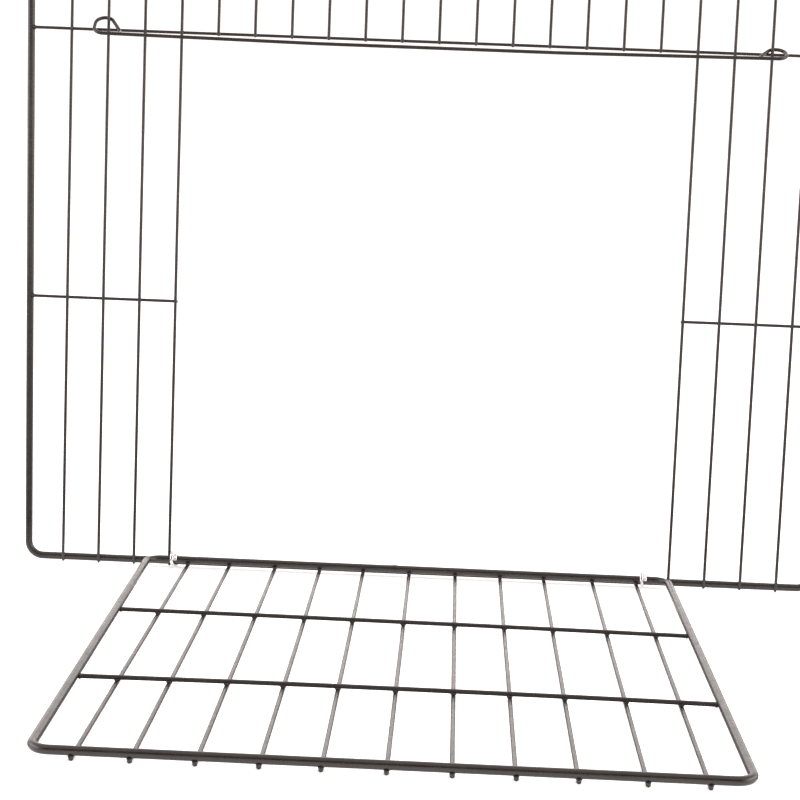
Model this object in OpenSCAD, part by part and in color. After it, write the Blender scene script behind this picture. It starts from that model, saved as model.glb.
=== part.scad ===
// Front panel of a wire dog crate: a welded wire frame with a wide doorway, a drop-down door held
// by two hinge rings, and a latch bar whose end loops slide up two of the upright wires.
// X runs to the right, -Y to the front, Z up. The origin is the middle of the panel's bottom wire, on
// the wire's axis, and the floor is a little under it.
// At rest the door lies open on the floor and the latch bar is down.

/* [Panel] */
// Distance between two upright wires
wire_pitch = 30; // [28:0.5:32]
// Spaces between the two uprights that edge the doorway
doorway_spaces = 14; // [13:1:14]
// Upright wires in the bay on each side of the doorway
bay_wires = 4; // [4:1:6]
// Height from the bottom wire to the first rail, and from each rail to the next
rail_step = 221; // [218:1:224]
// Rail heights in the whole panel
rail_steps = 3; // [3:1:4]
// Distance from the last upright to the side of the frame, at the foot
foot_gap = 30; // [28:1:34]
// The same distance at the top, where the sides have sprung apart
top_gap = 36.5; // [30:0.5:42]

/* [Wire diameters] */
// Wire of the panel frame and of the door frame
frame_wire = 6; // [5.5:0.5:6.5]
// Uprights and rails of the panel
grid_wire = 2.6; // [2.2:0.1:2.8]
// Long wires of the door
door_wire = 3; // [2.4:0.1:3.2]
// Cross wires of the door
cross_wire = 3.3; // [2.6:0.1:3.5]
// Latch bar
bar_wire = 3; // [2.6:0.1:3.2]
// Hinge rings
ring_wire = 2; // [1.8:0.1:2.2]

/* [Door] */
// Width between the centre lines of the door's side bars
door_width = 436; // [430:1:440]
// Distance from the hinge bar to the far bar, between centre lines
door_length = 446; // [440:1:450]
// Sideways play that the door has taken up, to the left
door_shift = 9.3; // [0:0.1:10]
// Long wires in the door
door_wires = 11; // [9:1:11]
// Spread of the long wires at the hinge bar
rear_spread = 376; // [370:1:384]
// Spread of the long wires at the far bar
front_spread = 383; // [370:1:384]
// Distance from the hinge bar to the left ends of the two cross wires
cross_places = [146, 303]; // [100:1:340]
// How much further from the hinge bar the right end of each is
cross_skew = [5, 0]; // [-6:1:6]

/* [Hinge] */
// Distance from the panel's bottom wire forward to the hinge bar
hinge_forward = 9.2; // [8.6:0.1:10]
// Height of the hinge bar over the panel's bottom wire
hinge_rise = 3.7; // [2:0.1:4]
// Distance from the middle of the door to each ring
ring_place = 196; // [150:0.5:200]
// Play between a ring and the wires inside it
ring_play = 0.35; // [0.3:0.05:0.5]

/* [Latch bar] */
// Distance from the frame's plane forward to the bar
bar_forward = 17.1; // [17:0.1:20]
// Height of the rail over the bar
bar_drop = 3.5; // [3:0.5:5]
// Rise of the left loop and of the right loop to the rear
loop_rise = [12.5, 7.3]; // [7:0.1:16]
// Half the width of a loop
loop_half = 10.4; // [9:0.1:12]

/* [Hidden] */
$fn = 48;

coat = "#332e2c";
zinc = "#d8d9da";

frame_r = frame_wire / 2;
grid_r = grid_wire / 2;
corner_bend = 12;
// The rings touch the floor, so the bottom wire is held off it by a ring's wire and its play
floor_z = -(frame_r + ring_play + ring_wire);
top_z = rail_steps * rail_step;
doorway_z = 2 * rail_step;
doorway_half = doorway_spaces * wire_pitch / 2;
grid_half = doorway_half + (bay_wires - 1) * wire_pitch;

// The uprights lie on the front of the frame wire, and the rails lie behind the uprights
upright_y = -(frame_r + grid_r);
rail_y = upright_y + grid_wire;
rail_gap = 0.05;
upright_overhang = 1.5;

hinge_y = -hinge_forward;
hinge_z = hinge_rise;
// The long wires are welded under the door frame and the cross wires lie on top of them
door_wire_h = -(frame_r + door_wire / 2);
cross_h = door_wire_h + (door_wire + cross_wire) / 2;
door_wire_overhang = 2;
// Angle at which the far bar's wires reach the floor
door_droop = asin((hinge_z - frame_r - door_wire - floor_z) / door_length);
// How far each long wire was welded from its even place
wire_scatter = [0, -3, -2, -2, -3, -2, -1, -1, -2, 1, 0];
// Sideways shift of the whole row of long wires, at the hinge bar and at the far bar
row_shift = [4, -0.5];
// Place of the butt weld in the door frame's hinge bar
door_seam_x = -10;

bar_y = -bar_forward;
bar_z = doorway_z - bar_drop;
loop_bend = 8;
loop_arc = 7.5;
// A loop passes behind its upright with this much play
loop_play = 0.4;
loop_depth = bar_forward + upright_y + grid_r + bar_wire / 2 + loop_play;
loop_x = doorway_half + 2 * wire_pitch;
// Where the loop's cut end lies, from the upright towards the doorway
loop_end = 11.3;
// Distance of the cut end's middle from the bar's
loop_end_gap = 3.2;

// How far the ring's standing end lies behind the ring's front and over its top, and how far its other
// end reaches down over the front
ring_tip_back = 7.5;
ring_tip_lift = 1.6;
ring_end_drop = 6;
// The two ends pass each other with this gap
ring_end_gap = 0.1;
// Bends of the ring are a little tighter than its half circle, so that straight wire is left between
ring_bend = 0.98;

// ---- bent wire ----

// Knuckle thickness over wire thickness, and how far in wire thicknesses a straight length stops short
knuckle = 1.02;
knuckle_gap = 0.05;

function unit(v) = v / norm(v);

// Angle through which the path a, b, c turns at b
function turn(a, b, c) = acos(max(-1, min(1, unit(b - a) * unit(c - b))));

// How much straight wire the bend at b takes from each side
function setback(a, b, c, radius) = radius * tan(turn(a, b, c) / 2);

// Straight round wire from a to b
module rod(a, b, d) {
    v = b - a;
    translate(a)
        rotate([0, acos(v.z / norm(v)), atan2(v.y, v.x)])
            cylinder(h = norm(v), d = d);
}

// Round bend of the path a, b, c, of the given centre-line radius
module bend(a, b, c, radius, d) {
    angle = turn(a, b, c);
    ahead = unit(b - a);
    onward = unit(c - b);
    centre = b + unit(onward - ahead) * radius / cos(angle / 2);
    out = unit(b - ahead * setback(a, b, c, radius) - centre);
    axle = cross(out, ahead);
    multmatrix([
        [out.x, ahead.x, axle.x, centre.x],
        [out.y, ahead.y, axle.y, centre.y],
        [out.z, ahead.z, axle.z, centre.z]
    ])
        rotate_extrude(angle = angle)
            translate([radius, 0])
                circle(d = d);
}

// One wire along a path of points, bent at each inner point to the radius listed for it. A straight
// length and a bend meet inside a knuckle, a ball just thicker than the wire, or face to face in a
// wire whose bends are all square.
module wire(path, radii, d, square = false) {
    last = len(path) - 1;
    taken = [for (i = [0:last])
        i == 0 || i == last ? 0 : setback(path[i - 1], path[i], path[i + 1], radii[i - 1])];
    short = square ? 0 : knuckle_gap * d;
    for (i = [0:last - 1]) {
        way = unit(path[i + 1] - path[i]);
        start = path[i] + way * taken[i];
        end = path[i + 1] - way * taken[i + 1];
        rod(start + way * (i == 0 ? 0 : short), end - way * (i == last - 1 ? 0 : short), d);
        if (i > 0 && !square) translate(start) rotate([0, 0, 90]) sphere(d = d * knuckle);
        if (i < last - 1 && !square) translate(end) rotate([0, 0, 90]) sphere(d = d * knuckle);
    }
    for (i = [1:last - 1])
        bend(path[i - 1], path[i], path[i + 1], radii[i - 1], d);
}

// ---- panel ----

// Distance of the frame's side from the middle, at height z
function side_x(z) =
    grid_half + foot_gap + (top_gap - foot_gap) * z / top_z;

module panel_frame() {
    foot = side_x(0);
    top = side_x(top_z);
    color(coat)
        wire([[0, 0, 0], [foot, 0, 0], [top, 0, top_z],
              [-top, 0, top_z], [-foot, 0, 0], [0, 0, 0]],
             [for (i = [1:4]) corner_bend], frame_wire);
}

// Upright wire at x, from a height to the top of the frame
module upright(x, from) {
    color(coat)
        rod([x, upright_y, from], [x, upright_y, top_z + upright_overhang], grid_wire);
}

module bay_wire(side, i)
    upright(side * (doorway_half + (i - 1) * wire_pitch), -upright_overhang);

// Short upright over the doorway, cut level with the rail's lower side
module top_wire(i)
    upright(-doorway_half + i * wire_pitch, doorway_z - grid_r);

// Where a rail is cut, just short of the frame's side it is welded to
function rail_end(z) = side_x(z) - frame_r - rail_gap;

module doorway_rail()
    color(coat)
        rod([-rail_end(doorway_z), rail_y, doorway_z],
            [rail_end(doorway_z), rail_y, doorway_z], grid_wire);

module bay_rail(side)
    color(coat)
        rod([side * (doorway_half - grid_r), rail_y, rail_step],
            [side * rail_end(rail_step), rail_y, rail_step], grid_wire);

// ---- door ----

// The door's own plane: hinge bar on the X axis, the far bar towards -Y
module on_door() {
    color(coat)
        translate([-door_shift, hinge_y, hinge_z])
            rotate([door_droop, 0, 0])
                children();
}

module door_frame() {
    half = door_width / 2;
    on_door()
        wire([[door_seam_x, 0, 0], [half, 0, 0], [half, -door_length, 0],
              [-half, -door_length, 0], [-half, 0, 0], [door_seam_x, 0, 0]],
             [for (i = [1:4]) corner_bend], frame_wire, square = true);
}

module door_cross_wire(i) {
    half = door_width / 2 - frame_r;
    left_y = -cross_places[i - 1];
    on_door()
        rod([-half, left_y, cross_h], [half, left_y - cross_skew[i - 1], cross_h], cross_wire);
}

module door_long_wire(i) {
    step = (i - 1) / (door_wires - 1) - 0.5;
    rear_x = row_shift[0] + rear_spread * step + wire_scatter[i - 1];
    front_x = row_shift[1] + front_spread * step + wire_scatter[i - 1];
    on_door()
        rod([rear_x, door_wire_overhang, door_wire_h],
            [front_x, -door_length - door_wire_overhang, door_wire_h], door_wire);
}

// ---- latch bar ----

// Point of a loop: x from its upright towards the doorway, reach along the loop from the bar
function loop_point(side, x, reach) =
    let (rise = loop_rise[side < 0 ? 0 : 1], length = norm([loop_depth, rise]))
    [side * (loop_x - x), bar_y + loop_depth * reach / length, bar_z + rise * reach / length];

// Slope of a loop's straight return, from the cut end beside the bar up to the arc behind the
// upright. The arc meets the loop's outer side at a tangent and the return at a tangent.
function return_slope(far) =
    let (across = loop_end + loop_half - loop_arc,
         up = far - sqrt(pow(loop_arc, 2) - pow(loop_half - loop_arc, 2)) - loop_end_gap,
         a = pow(across, 2) - pow(loop_arc, 2),
         b = across * up,
         c = pow(up, 2) - pow(loop_arc, 2))
    (b + sqrt(b * b - a * c)) / a;

// Points of one loop: its cut end, the corner outside its arc, and the corner at the bar's end
function loop_path(side) =
    let (far = norm([loop_depth, loop_rise[side < 0 ? 0 : 1]]),
         corner = loop_end_gap + (loop_end + loop_half) * return_slope(far))
    [loop_point(side, loop_end, loop_end_gap), loop_point(side, -loop_half, corner),
     loop_point(side, -loop_half, 0)];

module latch_bar() {
    color(coat)
        wire([for (i = [0:2]) loop_path(-1)[i], for (i = [2:-1:0]) loop_path(1)[i]],
             [loop_arc, loop_bend, loop_bend, loop_arc], bar_wire);
}

// ---- hinge rings ----

// Open wire ring round the panel's bottom wire and the hinge bar. Its two ends pass each other side by
// side over the front, and the first one is left standing up a little on top.
module hinge_ring(side) {
    apart = [0, hinge_y, hinge_z];
    along = unit(apart);
    across = [0, -along.z, along.y] * -1;
    ring_r = frame_r + ring_play + ring_wire / 2;
    beside = [(ring_wire + ring_end_gap) / 2, 0, 0];
    low = -along * ring_r;
    high = apart + along * ring_r;
    middle = -door_shift + side * ring_place;
    color(zinc)
        translate([middle, 0, 0])
            wire([high - along * ring_tip_back + across * (ring_r + ring_tip_lift) - beside,
                  high + across * ring_r - beside,
                  high - across * ring_r - beside,
                  low - across * ring_r + beside,
                  low + across * ring_r + beside,
                  high + across * ring_r + beside,
                  high + across * (ring_r - ring_end_drop) + beside],
                 [for (i = [1:5]) ring_r * ring_bend], ring_wire);
}

panel_frame();
for (i = [1:bay_wires]) {
    bay_wire(-1, i);
    bay_wire(1, i);
}
for (i = [1:doorway_spaces - 1])
    top_wire(i);
doorway_rail();
bay_rail(-1);  // left_bay_rail
bay_rail(1);  // right_bay_rail
door_frame();
for (i = [1:2])
    door_cross_wire(i);
for (i = [1:door_wires])
    door_long_wire(i);
latch_bar();
hinge_ring(-1);  // left_hinge_ring
hinge_ring(1);  // right_hinge_ring
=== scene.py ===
"""The look of the front panel of a wire dog crate: a welded wire frame, a drop-down door lying open
on two hinge rings, and a latch bar with looped ends.

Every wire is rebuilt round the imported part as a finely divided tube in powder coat, with its weld
nuggets, cut ends and slight unevenness. Metres, in the part's own frame.
"""
import math

import bmesh
import bpy
from mathutils import Matrix, Vector, noise


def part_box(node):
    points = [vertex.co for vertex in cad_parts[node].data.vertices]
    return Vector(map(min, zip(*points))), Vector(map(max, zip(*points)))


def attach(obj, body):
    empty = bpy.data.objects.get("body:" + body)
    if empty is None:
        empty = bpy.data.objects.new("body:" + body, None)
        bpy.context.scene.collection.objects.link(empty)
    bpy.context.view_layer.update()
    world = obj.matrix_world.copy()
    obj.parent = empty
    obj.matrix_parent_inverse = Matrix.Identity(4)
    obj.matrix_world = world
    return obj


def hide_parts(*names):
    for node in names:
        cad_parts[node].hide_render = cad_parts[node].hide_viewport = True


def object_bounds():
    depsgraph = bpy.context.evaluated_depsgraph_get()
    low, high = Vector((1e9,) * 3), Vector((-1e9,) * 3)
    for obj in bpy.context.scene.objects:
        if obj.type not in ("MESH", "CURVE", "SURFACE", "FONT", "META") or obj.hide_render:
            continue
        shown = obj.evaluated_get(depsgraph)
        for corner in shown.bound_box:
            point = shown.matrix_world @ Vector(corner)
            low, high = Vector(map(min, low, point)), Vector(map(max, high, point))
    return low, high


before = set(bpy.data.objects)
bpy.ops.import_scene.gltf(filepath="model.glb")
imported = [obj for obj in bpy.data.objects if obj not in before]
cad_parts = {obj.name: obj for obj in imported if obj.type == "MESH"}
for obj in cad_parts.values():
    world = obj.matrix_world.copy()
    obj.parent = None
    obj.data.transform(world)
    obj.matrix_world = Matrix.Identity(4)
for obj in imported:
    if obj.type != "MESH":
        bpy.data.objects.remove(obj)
cad_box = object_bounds()

MM = 0.001

# ---- camera ----

CAMERA_PLACE = Vector((0.0072, -1.5125, 0.3988))
CAMERA_YAW, CAMERA_PITCH, CAMERA_ROLL = -1.165, -6.76, 2.208
CAMERA_LENS = 82.6
CAMERA_SHIFT_Y = -0.11


def make_camera():
    yaw, pitch, roll = (math.radians(a) for a in (CAMERA_YAW, CAMERA_PITCH, CAMERA_ROLL))
    ahead = Vector((math.sin(yaw) * math.cos(pitch), math.cos(yaw) * math.cos(pitch), math.sin(pitch)))
    level = Vector((math.cos(yaw), -math.sin(yaw), 0))
    above = level.cross(ahead)
    right = math.cos(roll) * level + math.sin(roll) * above
    up = math.cos(roll) * above - math.sin(roll) * level
    data = bpy.data.cameras.new("camera")
    data.lens = CAMERA_LENS
    data.sensor_width = 36
    data.shift_y = CAMERA_SHIFT_Y
    data.clip_start, data.clip_end = 0.01, 100
    camera = bpy.data.objects.new("camera", data)
    bpy.context.scene.collection.objects.link(camera)
    turn = Matrix((right, up, -ahead)).transposed().to_4x4()
    camera.matrix_world = Matrix.Translation(CAMERA_PLACE) @ turn
    bpy.context.scene.camera = camera


make_camera()

# ---- materials ----


class Shader:
    """A material with a Principled shader and short ways to add the nodes in front of it."""

    def __init__(self, name, **values):
        self.material = bpy.data.materials.new(name)
        self.material.use_nodes = True
        self.tree = self.material.node_tree
        self.shader = self.tree.nodes["Principled BSDF"]
        for socket, value in values.items():
            self.shader.inputs[socket.replace("_", " ")].default_value = value
        self.place = self.node("ShaderNodeTexCoord").outputs["Object"]

    def node(self, kind, inputs=None, **settings):
        node = self.tree.nodes.new(kind)
        for key, value in settings.items():
            setattr(node, key, value)
        for key, value in (inputs or {}).items():
            if isinstance(value, bpy.types.NodeSocket):
                self.tree.links.new(value, node.inputs[key])
            else:
                node.inputs[key].default_value = value
        return node

    def noise(self, size, detail=2.0, rough=0.5, stretch=(1, 1, 1)):
        """Noise whose features are about size metres across, stretched along the given axes."""
        scale = [1 / (size * s) for s in stretch]
        place = self.node("ShaderNodeMapping", {"Vector": self.place, "Scale": scale})
        return self.node(
            "ShaderNodeTexNoise",
            {"Vector": place.outputs["Vector"], "Scale": 1.0, "Detail": detail, "Roughness": rough},
        ).outputs["Fac"]

    def ramp(self, fac, stops):
        node = self.node("ShaderNodeValToRGB", {"Fac": fac})
        marks = node.color_ramp.elements
        while len(marks) < len(stops):
            marks.new(0.5)
        for mark, (at, colour) in zip(marks, stops):
            mark.position = at
            mark.color = (*colour, 1) if isinstance(colour, tuple) else (colour, colour, colour, 1)
        return node.outputs["Color"]

    def mix(self, fac, a, b):
        return self.node(
            "ShaderNodeMix", {0: fac, 6: a, 7: b}, data_type="RGBA", blend_type="MIX"
        ).outputs[2]

    def bump(self, *layers):
        """Bumps laid over each other: (height, strength, depth in metres)."""
        below = None
        for height, strength, depth in layers:
            inputs = {"Height": height, "Strength": strength, "Distance": depth}
            if below:
                inputs["Normal"] = below
            below = self.node("ShaderNodeBump", inputs).outputs["Normal"]
        self.set("Normal", below)

    def set(self, socket, value):
        self.tree.links.new(value, self.shader.inputs[socket])


def powder_coat(name, dark, light, gloss=0.27):
    """Baked powder coat: fine orange peel, slow drifts of tone and gloss, and a little pale dust."""
    s = Shader(name, Specular_IOR_Level=0.5)
    drift = s.ramp(s.noise(26 * MM, 3), [(0.3, dark), (0.7, light)])
    dust = s.ramp(s.noise(1.1 * MM, 4, 0.7), [(0.66, 0.0), (0.78, 1.0)])
    patches = s.ramp(s.noise(40 * MM, 2), [(0.45, 0.0), (0.75, 0.32)])
    amount = s.node("ShaderNodeMath", {0: dust, 1: patches}, operation="MULTIPLY").outputs[0]
    s.set("Base Color", s.mix(amount, drift, (0.09, 0.082, 0.078, 1)))
    s.set("Roughness", s.ramp(s.noise(7 * MM, 3), [(0.3, gloss - 0.05), (0.7, gloss + 0.08)]))
    s.bump(
        (s.noise(1.6 * MM, 2), 0.10, 0.06 * MM),
        (s.noise(0.45 * MM, 2, 0.6), 0.14, 0.02 * MM),
    )
    return s.material


def plated(name, colour, rough, shade_grey):
    """Zinc-plated steel wire: drawn lines, grey patches laid at random that are painted shade, and small
    pits.
    """
    s = Shader(name, Metallic=1.0)
    patches = s.noise(1.8 * MM, 4, 0.6)
    # the grey laid at random over the bright metal is painted shade, so the wire does not wash out to white
    s.set("Base Color", s.ramp(patches, [(0.36, shade_grey), (0.56, colour)]))
    s.set("Roughness", s.ramp(s.noise(0.7 * MM, 3), [(0.3, rough - 0.08), (0.75, rough + 0.14)]))
    s.bump(
        (s.noise(0.25 * MM, 2, 0.5, (6, 1, 1)), 0.25, 0.03 * MM),
        (s.noise(0.9 * MM, 3), 0.25, 0.08 * MM),
    )
    return s.material


COATED_FRAME = powder_coat("powder_coat_frame", (0.0085, 0.0068, 0.0058), (0.0135, 0.0108, 0.0095), 0.26)
COATED_WIRE = powder_coat("powder_coat_wire", (0.0100, 0.0084, 0.0080), (0.0160, 0.0136, 0.0132), 0.27)
COATED_WELD = powder_coat("powder_coat_weld", (0.0060, 0.0050, 0.0045), (0.0110, 0.0092, 0.0084), 0.34)
# the ring's grey patches are painted shade, standing in for its darker reflections
ZINC = plated("zinc_plate", (0.8, 0.8, 0.81), 0.24, (0.42, 0.43, 0.44))
CUT_STEEL = plated("cut_steel", (0.62, 0.6, 0.58), 0.42, (0.4, 0.38, 0.37))

# ---- tubes ----


def unit(v):
    return v / v.length


def bent(path, radii, step=3 * MM, turn_step=9):
    """Centre-line points of a wire along path, bent to a radius at each inner point."""
    points = [path[0]]

    def straight(to):
        start = points[-1]
        count = max(1, round((to - start).length / step))
        points.extend(start.lerp(to, k / count) for k in range(1, count + 1))

    for before, corner, after, radius in zip(path, path[1:], path[2:], radii):
        come, go = unit(corner - before), unit(after - corner)
        turn = come.angle(go)
        if radius == 0 or turn < 1e-4:
            straight(corner)
            continue
        taken = radius * math.tan(turn / 2)
        straight(corner - come * taken)
        centre = corner + unit(go - come) * radius / math.cos(turn / 2)
        axle = come.cross(go).normalized()
        arm = points[-1] - centre
        count = max(2, math.ceil(math.degrees(turn) / turn_step))
        points.extend(centre + Matrix.Rotation(turn * k / count, 3, axle) @ arm for k in range(1, count + 1))
    straight(path[-1])
    return points


def new_piece(name, verts, faces, material, body, stands_for=()):
    mesh = bpy.data.meshes.new(name)
    mesh.from_pydata(verts, [], faces)
    mesh.validate()
    mesh.update()
    mesh.polygons.foreach_set("use_smooth", [True] * len(mesh.polygons))
    mesh.materials.append(material)
    piece = bpy.data.objects.new(name, mesh)
    bpy.context.scene.collection.objects.link(piece)
    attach(piece, body)
    if stands_for:
        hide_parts(*stands_for)
    return piece


def tube_mesh(points, radius, sides, closed=False, cap=0.45, uneven=0.012, seed=0, swell=None):
    """Vertices and faces of a round wire along points. Its ends are cut off with a rounded edge of
    cap times the radius, its thickness varies a little, and swell(t) thickens it along its length."""
    count = len(points)
    rings = []
    side = None
    length = 0.0
    for k, p in enumerate(points):
        if closed:
            ahead = points[(k + 1) % count] - points[k - 1]
        else:
            ahead = points[min(k + 1, count - 1)] - points[max(k - 1, 0)]
        ahead = unit(ahead)
        if side is None:
            side = unit(ahead.orthogonal())
        side = unit(side - ahead * side.dot(ahead))
        length += (p - points[k - 1]).length if k else 0
        rough = noise.noise(Vector((length * 90, seed * 7.3, 0.0)))
        r = radius * (1 + uneven * (rough - 0.5))
        if swell:
            r *= swell(k / max(1, count - 1))
        rings.append((p, ahead, side, r))
    if not closed:
        start, end = rings[0], rings[-1]
        steps = 4
        edge = cap * radius

        def rounded(ring, sign):
            p, ahead, side, r = ring
            made = []
            for k in range(steps + 1):
                a = math.pi / 2 * k / steps
                middle = p + ahead * sign * edge * (math.sin(a) - 1)
                made.append((middle, ahead, side, r - edge * (1 - math.cos(a))))
            return made

        # the rounded edge takes the place of the wire's last stretch
        inner = [ring for ring in rings[1:-1]
                 if (ring[0] - start[0]).length > edge * 1.2 and (ring[0] - end[0]).length > edge * 1.2]
        rings = rounded(start, -1)[::-1] + inner + rounded(end, 1)
    verts, faces = [], []
    for p, ahead, side, r in rings:
        other = ahead.cross(side)
        for k in range(sides):
            a = 2 * math.pi * k / sides
            verts.append(p + r * (math.cos(a) * side + math.sin(a) * other))
    total = len(rings)
    for i in range(total if closed else total - 1):
        j = (i + 1) % total
        shift = 0
        if closed and j == 0:
            # the last ring's vertices are matched to the nearest ones of the first ring
            base = verts[i * sides]
            shift = min(range(sides), key=lambda k: (verts[k] - base).length)
        for k in range(sides):
            a, b = i * sides + k, i * sides + (k + 1) % sides
            c, d = j * sides + (k + 1 + shift) % sides, j * sides + (k + shift) % sides
            faces.append((a, b, c, d))
    if not closed:
        for first, turn in ((0, -1), ((total - 1) * sides, 1)):
            ring = list(range(first, first + sides))
            middle = len(verts)
            verts.append(sum((verts[v] for v in ring), Vector()) / sides)
            for k in range(sides):
                face = (ring[k], ring[(k + 1) % sides], middle)
                faces.append(face if turn > 0 else face[::-1])
    return verts, faces


def wander(points, amount, seed):
    """Lets a wire drift slowly off its straight line by up to amount, but not at its ends. The seed only
    tells the wires apart: noise_vector starts from the clock, so the drift is another in each run."""
    total = sum((b - a).length for a, b in zip(points, points[1:]))
    moved, gone = [], 0.0
    for k, p in enumerate(points):
        gone += (p - points[k - 1]).length if k else 0
        ease = min(1.0, max(0.0, min(gone, total - gone) / (20 * MM)))
        drift = noise.noise_vector(Vector((gone * 9, seed * 3.7, 1.3)))
        moved.append(p + drift * amount * ease)
    return moved


def cad_ends(node):
    """Centres of a straight CAD wire's two ends and its radius, from the corners of its mesh."""
    corners = [v.co.copy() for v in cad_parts[node].data.vertices]
    low, high = (Vector(c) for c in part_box(node))
    axis = max(range(3), key=lambda k: high[k] - low[k])
    middle = (low[axis] + high[axis]) / 2
    ends = []
    for side in (-1, 1):
        ring = [c for c in corners if (c[axis] - middle) * side > 0]
        ends.append(Vector(((min(c[k] for c in ring) + max(c[k] for c in ring)) / 2 for k in range(3))))
    along = unit(ends[1] - ends[0])
    radius = max(((c - ends[0]) - along * (c - ends[0]).dot(along)).length for c in corners)
    return ends[0], ends[1], radius


def straight_wire(node, body, material, seed, drift=0.12 * MM, bow=None, sides=18, cap=0.45, swell=None,
                  trim=0.0):
    """A visible wire in place of a straight CAD one. bow(t) moves it off its line, t from 0 to 1, and
    trim is cut off its lower or left end."""
    start, end, radius = cad_ends(node)
    start += unit(end - start) * trim
    points = wander(bent([start, end], []), drift, seed)
    if bow:
        last = len(points) - 1
        points = [p + bow(k / last) for k, p in enumerate(points)]
    verts, faces = tube_mesh(points, radius, sides, cap=cap, seed=seed, swell=swell)
    new_piece("wire_" + node, verts, faces, material, body, (node,))
    return start, end, radius, bow


def crossing(wire, axis, value):
    """The point where a straight wire, with its bow, has the given coordinate on an axis."""
    start, end, _, bow = wire
    t = (value - start[axis]) / (end[axis] - start[axis])
    t = min(1.0, max(0.0, t))
    return start.lerp(end, t) + (bow(t) if bow else Vector())


# ---- welds ----


# How uneven a weld nugget is, and how far it spreads beside a thin wire and beside a frame wire
WELD_LUMP = 0.16
WELD_SPREAD, FRAME_WELD_SPREAD = 1.45, 1.25


class Welds:
    """Collects the weld nuggets of one body into one mesh."""

    def __init__(self):
        self.verts, self.faces, self.count = [], [], 0

    def add(self, place, along_a, along_b, size_a, size_b, depth, rings=7, sides=14):
        """A lumpy squashed nugget between two crossed wires, size_a and size_b long beside them."""
        a, b = unit(along_a), unit(along_b)
        out = unit(a.cross(b))
        b = out.cross(a)
        base = len(self.verts)
        self.count += 1
        for i in range(rings + 1):
            tilt = math.pi * i / rings
            for k in range(sides):
                turn = 2 * math.pi * k / sides
                d = Vector((math.sin(tilt) * math.cos(turn), math.sin(tilt) * math.sin(turn), math.cos(tilt)))
                lump = 1 + WELD_LUMP * noise.noise(d * 1.7 + Vector((self.count * 5.1, 0, 0)))
                self.verts.append(place + lump * (a * d.x * size_a + b * d.y * size_b + out * d.z * depth))
        for i in range(rings):
            for k in range(sides):
                n = (k + 1) % sides
                near, far = base + i * sides, base + (i + 1) * sides
                self.faces.append((far + k, far + n, near + n, near + k))

    def between(self, p, q, along_p, along_q, r_p, r_q, spread=WELD_SPREAD):
        """The nugget where wires of radius r_p and r_q, with centre lines through p and q, touch."""
        place = p.lerp(q, r_p / (r_p + r_q))
        self.add(place, along_p, along_q, r_q * spread, r_p * spread, min(r_p, r_q) * 0.95)

    def make(self, name, body, slot):
        piece = new_piece(name, self.verts, self.faces, COATED_WELD, body)
        mesh = piece.data
        b = bmesh.new()
        b.from_mesh(mesh)
        bmesh.ops.remove_doubles(b, verts=b.verts, dist=1e-7)
        b.to_mesh(mesh)
        b.free()
        mesh.polygons.foreach_set("use_smooth", [True] * len(mesh.polygons))


X, Y, Z = Vector((1, 0, 0)), Vector((0, 1, 0)), Vector((0, 0, 1))
panel_welds, door_welds = Welds(), Welds()
WIRE, FRAME, RING = "coated_wire", "coated_frame_wire", "zinc_ring"

# ---- panel ----

CORNER_BEND = 12 * MM
# How much wider the panel is at the top than at the foot, on each side
SIDE_LEAN = 6.5 * MM

low, high = (Vector(c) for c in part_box("panel_frame"))
FRAME_R = (high.y - low.y) / 2
foot_z, head_z = low.z + FRAME_R, high.z - FRAME_R
head_half = (high.x - low.x) / 2 - FRAME_R
foot_half = head_half - SIDE_LEAN


def side_x(z):
    return foot_half + SIDE_LEAN * (z - foot_z) / (head_z - foot_z)


corners = [Vector((-foot_half, 0, foot_z)), Vector((foot_half, 0, foot_z)),
           Vector((head_half, 0, head_z)), Vector((-head_half, 0, head_z))]
foot_middle = (corners[0] + corners[1]) / 2
path = [foot_middle, corners[1], corners[2], corners[3], corners[0], foot_middle]
loop = bent(path, [CORNER_BEND] * 4)[:-1]
verts, faces = tube_mesh(loop, FRAME_R, 32, closed=True, seed=1)
new_piece("wire_panel_frame", verts, faces, COATED_FRAME, "panel", ("panel_frame",))


def rail(node, seed):
    """A straight rail behind the uprights, welded at its outer ends to the frame's sides."""
    start, end, r, _ = straight_wire(node, "panel", COATED_WIRE, seed)
    for tip in (start, end):
        if abs(tip.x) > side_x(tip.z) - FRAME_R - MM:
            panel_welds.add(tip, X, Z, r * 1.3, r * 1.6, r * 1.6)
    return start.y, start.z, r


doorway_rail = rail("doorway_rail", 21)
bay_rails = {"left": rail("left_bay_rail", 22), "right": rail("right_bay_rail", 23)}



def weld_upright(wire, crossed):
    """Nuggets where an upright crosses the given wires, each with its y, its z and its radius."""
    r = wire[2]
    for y, z, other_r in crossed:
        p = crossing(wire, 2, z)
        spread = FRAME_WELD_SPREAD if other_r > r * 1.5 else WELD_SPREAD
        panel_welds.between(p, Vector((p.x, y, z)), Z, X, r, other_r, spread)


# The uprights' feet are cut this much shorter than the CAD's
FOOT_TRIM = 1.6 * MM
foot_bar, head_bar = (0, foot_z, FRAME_R), (0, head_z, FRAME_R)

seed = 100
for side in ("left", "right"):
    for i in range(1, 5):
        seed += 1
        node = f"{side}_bay_wire_{i}"
        wire = straight_wire(node, "panel", COATED_WIRE, seed, trim=FOOT_TRIM)
        weld_upright(wire, (foot_bar, head_bar, doorway_rail, bay_rails[side]))
for i in range(1, 14):
    seed += 1
    wire = straight_wire(f"top_wire_{i}", "panel", COATED_WIRE, seed)
    weld_upright(wire, (head_bar, doorway_rail))
panel_welds.make("panel_welds", "panel", WIRE)

# ---- door ----

lo, hi = (Vector(c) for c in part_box("door_frame"))
hinge = Vector(((lo.x + hi.x) / 2, hi.y - FRAME_R, hi.z - FRAME_R))
far_y, far_z = lo.y + FRAME_R, lo.z + FRAME_R
door_half = (hi.x - lo.x) / 2 - FRAME_R
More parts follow.
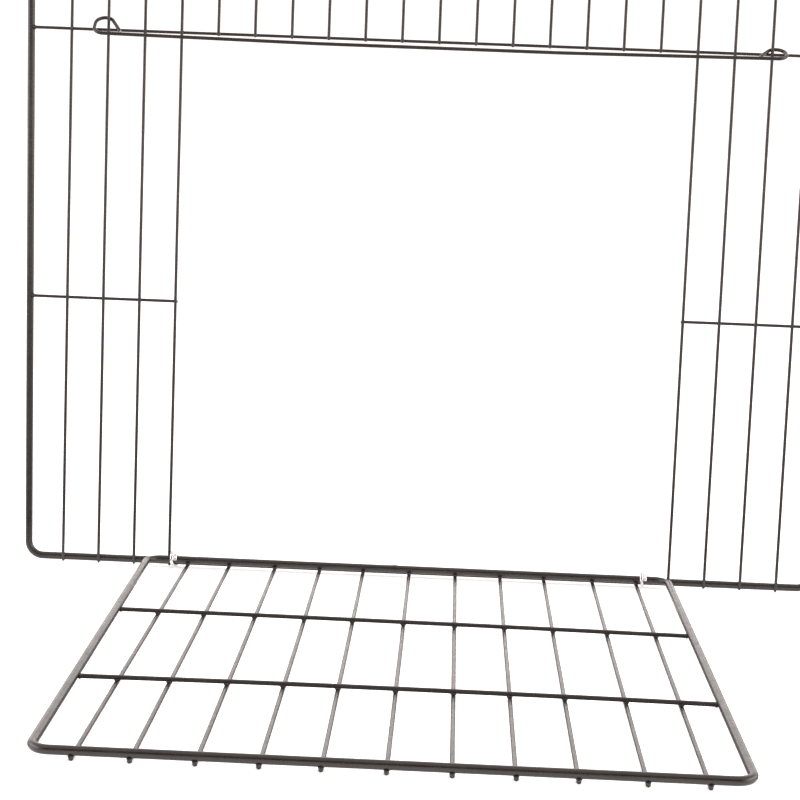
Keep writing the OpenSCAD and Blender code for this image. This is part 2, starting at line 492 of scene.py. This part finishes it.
# Place of the butt weld along the hinge bar, from the door's middle
SEAM_X = -10 * MM


def door_point(x, y):
    """The point of the door frame's middle plane over (x, y)."""
    t = (y - hinge.y) / (far_y - hinge.y)
    return Vector((x, y, hinge.z + (far_z - hinge.z) * t))


left, right = hinge.x - door_half, hinge.x + door_half
seam = door_point(hinge.x + SEAM_X, hinge.y)
ring = [seam, door_point(right, hinge.y), door_point(right, far_y), door_point(left, far_y),
        door_point(left, hinge.y), seam]
loop = bent(ring, [CORNER_BEND] * 4)[:-1]
verts, faces = tube_mesh(loop, FRAME_R, 32, closed=True, seed=2)
new_piece("wire_door_frame", verts, faces, COATED_FRAME, "door", ("door_frame",))

# How far each cross wire was bent out of straight
CROSS_BOWS = 1.2 * MM, 2 * MM


def arched(t):
    return Vector((0, CROSS_BOWS[0] * math.sin(math.pi * t), 0))


def sagging_ends(t):
    return Vector((0, CROSS_BOWS[1] * (0.5 - 6 * (t - 0.5) ** 2), 0))


cross_wires = [
    straight_wire(f"door_cross_wire_{i}", "door", COATED_FRAME, 40 + i, sides=20, cap=0.2, bow=bow)
    for i, bow in ((1, arched), (2, sagging_ends))
]
# The nuggets at the cross wires' ends sit this far in from them
END_WELD_INSET = 0.3 * MM
for start, end, r, bow in cross_wires:
    for tip, inward in ((start, X), (end, -X)):
        place = tip + bow(0) + inward * END_WELD_INSET
        door_welds.add(place, X, Y, r * 0.9, r * 1.35, r * 1.25)


def stub_swell(t):
    """Powder gathers at the cut ends of the long wires."""
    share = 0.008
    edge = max(0.0, abs(t - 0.5) * 2 - (1 - share)) / share
    return 1 + 0.1 * edge


for i in range(1, 12):
    wire = straight_wire(f"door_wire_{i}", "door", COATED_WIRE, 50 + i,
                         drift=0.2 * MM, cap=0.9, swell=stub_swell)
    r = wire[2]
    along = unit(wire[1] - wire[0])
    for y in (hinge.y, far_y):
        p = crossing(wire, 1, y)
        bar = door_point(p.x, y)
        door_welds.between(p, bar, along, X, r, FRAME_R, 1.3)
    for cross in cross_wires:
        # both wires slant, so their crossing is found in a few steps
        y = (cross[0].y + cross[1].y) / 2
        for _ in range(3):
            p = crossing(wire, 1, y)
            q = crossing(cross, 0, p.x)
            y = q.y
        door_welds.between(p, q, along, X, r, cross[2], 1.4)


def butt_weld():
    """The ground-down collar where the door frame's wire is closed on the hinge bar."""
    sides, steps, half = 32, 10, 3.4 * MM
    points = [seam + X * half * (2 * k / steps - 1) for k in range(steps + 1)]
    v, f = tube_mesh(points, FRAME_R, sides, cap=0.05, uneven=0.0,
                     swell=lambda t: 1.006 + 0.075 * math.sin(math.pi * t) ** 2)
    for k, p in enumerate(v):
        off = p - Vector((p.x, seam.y, seam.z))
        v[k] = p + off * 0.05 * noise.noise(p * 900)
    new_piece("door_butt_weld", v, f, COATED_WELD, "door")


butt_weld()
door_welds.make("door_welds", "door", WIRE)

# ---- latch bar ----

lo, hi = (Vector(c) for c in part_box("latch_bar"))
BAR_R = 1.5 * MM
BAR_DROP, BAR_SAG, SAG_HALF = 3.2 * MM, 2 * MM, 100 * MM
LOOP_RISE = {-1: 12.5 * MM, 1: 7.3 * MM}
LOOP_HALF, LOOP_BEND, LOOP_ARC = 10.4 * MM, 8 * MM, 7.5 * MM
LOOP_DEPTH, LOOP_END, LOOP_END_GAP = 16 * MM, 11.3 * MM, 3.2 * MM
bar_y = lo.y + BAR_R
bar_z = doorway_rail[1] - BAR_DROP
loop_x = (hi.x - lo.x) / 2 - BAR_R - LOOP_HALF


def loop_point(side, x, reach):
    """x is from the loop's upright towards the doorway, and reach is along the loop from the bar."""
    rise = LOOP_RISE[side]
    far = math.hypot(LOOP_DEPTH, rise)
    return Vector((side * (loop_x - x), bar_y + LOOP_DEPTH * reach / far, bar_z + rise * reach / far))


def loop_path(side):
    """A loop's cut end beside the bar, the corner outside its arc, and the corner at the bar's end."""
    far = math.hypot(LOOP_DEPTH, LOOP_RISE[side])
    across = LOOP_END + LOOP_HALF - LOOP_ARC
    up = far - math.sqrt(LOOP_ARC ** 2 - (LOOP_HALF - LOOP_ARC) ** 2) - LOOP_END_GAP
    a, b, c = across ** 2 - LOOP_ARC ** 2, across * up, up ** 2 - LOOP_ARC ** 2
    slope = (b + math.sqrt(b * b - a * c)) / a
    corner = LOOP_END_GAP + (LOOP_END + LOOP_HALF) * slope
    return [loop_point(side, LOOP_END, LOOP_END_GAP), loop_point(side, -LOOP_HALF, corner),
            loop_point(side, -LOOP_HALF, 0)]


sagging = [Vector((s * SAG_HALF, bar_y, bar_z - BAR_SAG)) for s in (-1, 1)]
bends = [LOOP_ARC, LOOP_BEND]
points = bent(loop_path(-1) + sagging + loop_path(1)[::-1], bends + [1.2, 1.2] + bends[::-1], step=2.5 * MM)
verts, faces = tube_mesh(points, BAR_R, 22, cap=0.3, seed=3)
new_piece("wire_latch_bar", verts, faces, COATED_FRAME, "latch_bar", ("latch_bar",))


# How far the bare face of a cut end domes out
CUT_DOME = 0.16 * MM


def cut_face(name, tip, inward, body, radius):
    """The bare cut face at a wire's end: a low dome with a torn rim."""
    back = unit(inward)
    side = unit(back.orthogonal())
    other = back.cross(side)
    rings, sides = 4, 20
    v = [tip - back * CUT_DOME]
    f = []
    for i in range(1, rings + 1):
        a = i / rings
        for k in range(sides):
            turn = 2 * math.pi * k / sides
            r = radius * 0.8 * a * (1 + 0.05 * noise.noise(Vector((k * 0.9, i, 5))))
            out = math.cos(turn) * side + math.sin(turn) * other
            v.append(tip - back * CUT_DOME * (1 - a * a * 1.6) + r * out)
    for k in range(sides):
        f.append((0, 1 + (k + 1) % sides, 1 + k))
    for i in range(rings - 1):
        for k in range(sides):
            a, b = 1 + i * sides + k, 1 + i * sides + (k + 1) % sides
            f.append((a, b, b + sides, a + sides))
    # a cone inside the wire closes the piece
    base = len(v)
    v.append(tip + back * 0.5 * MM)
    first = 1 + (rings - 1) * sides
    for k in range(sides):
        f.append((first + k, first + (k + 1) % sides, base))
    new_piece(name, v, f, CUT_STEEL, body)


cut_face("latch_bar_cut_left", points[0], points[1] - points[0], "latch_bar", BAR_R)
cut_face("latch_bar_cut_right", points[-1], points[-2] - points[-1], "latch_bar", BAR_R)

# ---- hinge rings ----

RING_WIRE_R = 1 * MM
RING_PLAY = 0.35 * MM
RING_TIP_BACK, RING_TIP_LIFT, RING_END_DROP = 7.5 * MM, 2.8 * MM, 6 * MM
# The ring's wire is pressed this much wider than it is thick
RING_FLAT = 1.4


def hinge_ring(node, seed, aside=0.0):
    """Open ring round the panel's bottom wire and the hinge bar, its ends side by side over the front."""
    lo, hi = (Vector(c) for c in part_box(node))
    middle = Vector(((lo.x + hi.x) / 2 + aside, 0, foot_z))
    apart = Vector((0, hinge.y, hinge.z - foot_z))
    along = unit(apart)
    across = Vector((0, along.z, -along.y))
    r = FRAME_R + RING_PLAY + RING_WIRE_R
    beside = X * (RING_WIRE_R * RING_FLAT + 0.05 * MM)
    bottom, top = middle - along * r, middle + apart + along * r
    path = [
        top - along * RING_TIP_BACK + across * (r + RING_TIP_LIFT) - beside,
        top + across * r - beside,
        top - across * r - beside,
        bottom - across * r + beside,
        bottom + across * r + beside,
        top + across * r + beside,
        top + across * (r - RING_END_DROP) + beside,
    ]
    points = bent(path, [r * 0.98] * 5, step=0.8 * MM, turn_step=8)
    sides = 20
    verts, faces = tube_mesh(points, RING_WIRE_R, sides, cap=0.5, uneven=0.03, seed=seed)
    for first in range(0, len(verts) - 2, sides):
        centre = sum(v.x for v in verts[first:first + sides]) / sides
        for v in verts[first:first + sides]:
            v.x = centre + (v.x - centre) * RING_FLAT
    new_piece("ring_" + node, verts, faces, ZINC, "panel", (node,))
    cut_face("tip_" + node, points[0], points[1] - points[0], "panel", RING_WIRE_R)
    cut_face("end_" + node, points[-1], points[-2] - points[-1], "panel", RING_WIRE_R)


hinge_ring("left_hinge_ring", 5)
# pushed aside to stay clear of the long wire beside it when the door is closed
hinge_ring("right_hinge_ring", 6, 1.4 * MM)

# ---- floor and light ----


def make_floor():
    size = 14.0
    z = cad_box[0][2]
    mesh = bpy.data.meshes.new("floor")
    corners = [(-size, -size, z), (size, -size, z), (size, size, z), (-size, size, z)]
    mesh.from_pydata(corners, [], [(0, 1, 2, 3)])
    floor = bpy.data.objects.new("floor", mesh)
    bpy.context.scene.collection.objects.link(floor)
    s = Shader("floor", Roughness=0.9, Specular_IOR_Level=0.1, Emission_Strength=0.4)
    s.set("Base Color", s.ramp(s.noise(0.3, 3), [(0.3, 0.93), (0.7, 0.95)]))
    mesh.materials.append(s.material)


def area_light(name, place, target, size, watts, tint=(1, 1, 1), in_gloss=True):
    data = bpy.data.lights.new(name, "AREA")
    data.shape = "RECTANGLE"
    data.size, data.size_y = size
    data.energy = watts
    data.color = tint
    light = bpy.data.objects.new(name, data)
    light.visible_glossy = in_gloss
    light.location = place
    light.rotation_euler = (Vector(target) - Vector(place)).to_track_quat("-Z", "Y").to_euler()
    bpy.context.scene.collection.objects.link(light)


def gloss_card(name, corners, stops, glow=0.0, tint=(1, 0.93, 0.9)):
    """A card seen only in the gloss of the wires, as in a photographer's room. stops are its shades
    from its foot to its head, and glow is light of its own."""
    mesh = bpy.data.meshes.new(name)
    mesh.from_pydata(corners, [], [(0, 1, 2, 3)])
    card = bpy.data.objects.new(name, mesh)
    bpy.context.scene.collection.objects.link(card)
    for ray in ("camera", "diffuse", "shadow", "transmission", "volume_scatter"):
        setattr(card, "visible_" + ray, False)
    s = Shader(name, Roughness=1.0, Specular_IOR_Level=0.0, Emission_Strength=glow)
    spread = s.node("ShaderNodeTexCoord").outputs["Generated"]
    up = s.node("ShaderNodeSeparateXYZ", {"Vector": spread}).outputs["Z"]
    s.set("Base Color", s.ramp(up, stops))
    s.shader.inputs["Emission Color"].default_value = (*tint, 1)
    mesh.materials.append(s.material)


def flat_card(name, near, far, shade):
    """A gloss card lying just over the floor from near to far in front of the panel."""
    z = cad_box[0][2] + 0.2 * MM
    gloss_card(name, [(-3, near, z), (3, near, z), (3, far, z), (-3, far, z)], [(0, shade), (1, shade)])


make_floor()
gloss_card("card_front_low", [(-2.4, -3, -0.1), (2.4, -3, -0.1), (2.4, -3, 0.5), (-2.4, -3, 0.5)],
           [(0, 0.5), (1, 0.5)], 1.4)
gloss_card("card_front_high", [(-2.4, -3, 0.5), (2.4, -3, 0.5), (2.4, -3, 3.5), (-2.4, -3, 3.5)],
           [(0, 0.06), (1, 0.1)])
gloss_card("card_rear", [(3, 3, 0.35), (-3, 3, 0.35), (-3, 3, 2.6), (3, 3, 2.6)], [(0, 0.5), (1, 0.5)], 1.7)
gloss_card("card_left", [(-3, -2.4, 0), (-3, 1.5, 0), (-3, 1.5, 2), (-3, -2.4, 2)], [(0, 0.5), (1, 0.5)], 2.8,
           (0.97, 0.9, 1))
gloss_card("card_right", [(3, -2.4, 0), (3, 1.5, 0), (3, 1.5, 2), (3, -2.4, 2)], [(0, 0.5), (1, 0.5)], 2.8,
           (1, 0.92, 0.82))
flat_card("card_floor_near", -0.06, -0.44, 0.35)
flat_card("card_floor_far", -0.54, -2.9, 0.35)
area_light("softbox_front", (0.5, -2.4, 2.0), (0, -0.1, 0.4), (1.6, 0.9), 26, (1, 0.95, 0.93), False)
area_light("softbox_top", (-0.3, -0.3, 2.6), (0, -0.1, 0.2), (2.2, 1.4), 14, (1, 1, 1), False)
area_light("softbox_right", (2.4, -0.6, 1.3), (0, 0, 0.3), (1.0, 1.4), 8, (1, 0.93, 0.86))
area_light("softbox_left", (-2.4, -0.6, 1.3), (0, 0, 0.3), (1.0, 1.4), 6, (0.95, 0.9, 1))

world = bpy.data.worlds.new("studio")
world.use_nodes = True
world.node_tree.nodes["Background"].inputs["Color"].default_value = (1, 0.91, 0.88, 1)
world.node_tree.nodes["Background"].inputs["Strength"].default_value = 1.34
bpy.context.scene.world = world
bpy.context.scene.view_settings.view_transform = "Standard"
